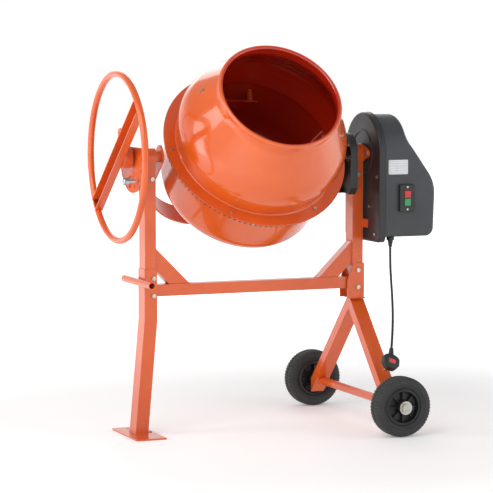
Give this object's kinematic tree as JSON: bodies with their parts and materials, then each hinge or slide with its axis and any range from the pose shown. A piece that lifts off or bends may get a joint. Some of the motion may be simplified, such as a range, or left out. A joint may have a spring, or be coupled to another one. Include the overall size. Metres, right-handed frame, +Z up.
{
  "type": "concrete mixer",
  "caption": "Electric concrete mixer: tilting drum in a yoke on a two-wheeled tubular stand, with a side handwheel to tip it and a covered motor drive.",
  "frame": {"origin": "on the ground under the middle of the machine's overall box", "axes": "+Z up, +X from the handwheel to the motor housing, -Y the side the drum's mouth leans to"},
  "size_m": [1.0037, 0.74, 1.1592],
  "materials": {
    "orange_coat": "powder coat, semi gloss",
    "orange_drum": "powder coat, gloss",
    "gear_iron": "machined cast, greased teeth",
    "zinc": "zinc plated",
    "steel": "turned, bare",
    "bronze": "sintered",
    "black_shell": "moulded, fine grain",
    "black_pan": "moulded, fine grain",
    "tyre": "moulded rubber",
    "wheel_hub": "moulded",
    "rubber": "soft black",
    "belt": "ribbed belt",
    "aluminium_cast": "die cast",
    "label": "printed film",
    "switch": "moulded",
    "red_button": "moulded",
    "green_button": "moulded",
    "brass": "plated pins"
  },
  "bodies": {
    "stand": {"left_upright": "orange_coat", "right_upright": "orange_coat", "cross_beam": "orange_coat", "beam_braces": "orange_coat", "left_leg": "orange_coat", "foot_plate": "orange_coat", "lift_bar": "orange_coat", "wheel_leg_head": "orange_coat", "wheel_legs": "orange_coat", "axle_tube": "orange_coat", "wheel_axle": "steel", "axle_fasteners": "zinc", "frame_bolts": "zinc", "left_bearing_block": "orange_coat", "right_bearing_block": "orange_coat", "pivot_bushes": "bronze", "grease_nipple": "zinc", "index_plate": "orange_coat", "pinion_guard": "black_pan", "housing_pan": "black_pan", "housing_cover": "black_shell", "housing_bracket": "orange_coat", "housing_screws": "zinc", "rating_plate": "label", "switch_box": "switch", "cord_gland": "rubber", "power_cord": "rubber", "plug_body": "rubber", "plug_pins": "brass", "motor_body": "aluminium_cast", "motor_bracket": "zinc", "drive_belt": "belt"},
    "yoke": {"yoke_arm": "orange_coat", "left_pivot_tube": "orange_coat", "right_pivot_tube": "steel", "yoke_hub": "orange_coat", "drum_bearings": "steel", "handwheel_rim": "orange_coat", "handwheel_spoke": "orange_coat", "handwheel_hub": "orange_coat", "handwheel_bolts": "zinc"},
    "lock_pin": {"lock_pin": "steel"},
    "drum": {"drum_bowl": "orange_drum", "drum_cone": "orange_drum", "seam_gasket": "rubber", "drum_base_plate": "orange_drum", "drum_shaft": "steel", "drum_bolts": "zinc", "mixing_blades": "orange_drum", "ring_gear": "gear_iron"},
    "pinion": {"pinion_shaft": "steel", "drive_pulley": "aluminium_cast"},
    "rotor": {"motor_shaft": "steel", "motor_pulley": "aluminium_cast"},
    "front_wheel": {"front_tyre": "tyre", "front_hub": "wheel_hub"},
    "back_wheel": {"back_tyre": "tyre", "back_hub": "wheel_hub"},
    "start_button": {"start_button": "green_button"},
    "stop_button": {"stop_button": "red_button"}
  },
  "joints": [
    {"name": "drum_tilt", "type": "hinge", "parent": "stand", "child": "yoke", "pos_m": [-0.0635, 0, 0.83], "axis": [1, 0, 0], "range_deg": [-50, 75]},
    {"name": "drum_spin", "type": "hinge", "parent": "yoke", "child": "drum", "pos_m": [-0.0635, 0, 0.83], "axis": [0, -0.7771, 0.6293], "continuous": true},
    {"name": "pinion_spin", "type": "hinge", "parent": "yoke", "child": "pinion", "pos_m": [-0.0635, 0, 0.83], "axis": [1, 0, 0], "continuous": true},
    {"name": "rotor_spin", "type": "hinge", "parent": "stand", "child": "rotor", "pos_m": [0.3795, 0, 0.655], "axis": [1, 0, 0], "continuous": true},
    {"name": "front_wheel_spin", "type": "hinge", "parent": "stand", "child": "front_wheel", "pos_m": [0.2825, -0.3225, 0.09], "axis": [0, 1, 0], "continuous": true},
    {"name": "back_wheel_spin", "type": "hinge", "parent": "stand", "child": "back_wheel", "pos_m": [0.2825, 0.3225, 0.09], "axis": [0, 1, 0], "continuous": true},
    {"name": "lock_pin_slide", "type": "slide", "parent": "yoke", "child": "lock_pin", "axis": [1, 0, 0], "range_m": [0, 0.012]},
    {"name": "start_button_press", "type": "slide", "parent": "stand", "child": "start_button", "axis": [0, 1, 0], "range_m": [0, 0.002], "stiffness_N_per_m": 400, "springref_m": -0.001},
    {"name": "stop_button_press", "type": "slide", "parent": "stand", "child": "stop_button", "axis": [0, 1, 0], "range_m": [0, 0.002], "stiffness_N_per_m": 400, "springref_m": -0.001}
  ],
  "couplings": [
    {"joint": "pinion_spin", "follows": "drum_spin", "ratio": -12},
    {"joint": "rotor_spin", "follows": "drum_spin", "ratio": -63}
  ]
}
